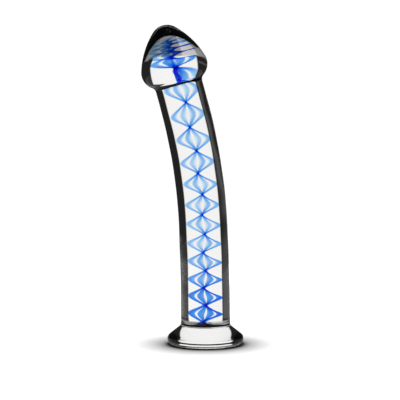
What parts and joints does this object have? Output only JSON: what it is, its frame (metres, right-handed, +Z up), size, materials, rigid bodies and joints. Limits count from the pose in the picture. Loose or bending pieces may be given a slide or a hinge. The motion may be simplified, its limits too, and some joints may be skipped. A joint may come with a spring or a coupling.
{
  "type": "glass dildo",
  "caption": "Solid curved glass dildo, an adult product: bulbous head, smooth shaft with a twisted blue and white glass ribbon inside, and a flared foot with a flat base.",
  "frame": {"origin": "centre of the foot's flat face, on the surface that the object stands on", "axes": "+Z up along the shaft's lower end; the shaft and head bend towards -X; +Y away from the side that is seen"},
  "size_m": [0.0554, 0.0414, 0.1728],
  "materials": {
    "clear_glass": "clear, colourless, fire-polished",
    "white_glass": "opaque white opal glass, sealed in clear glass",
    "blue_glass": "transparent cobalt blue glass, sealed in clear glass"
  },
  "bodies": {
    "root": {"foot": "clear_glass", "shaft_casing": "clear_glass", "head": "clear_glass", "core_bar_front": "clear_glass", "core_bar_back": "clear_glass", "white_thread_1": "white_glass", "white_thread_2": "white_glass", "white_thread_3": "white_glass", "blue_cane_1": "blue_glass", "blue_cane_2": "blue_glass", "blue_cane_3": "blue_glass", "blue_cane_4": "blue_glass"}
  },
  "joints": []
}
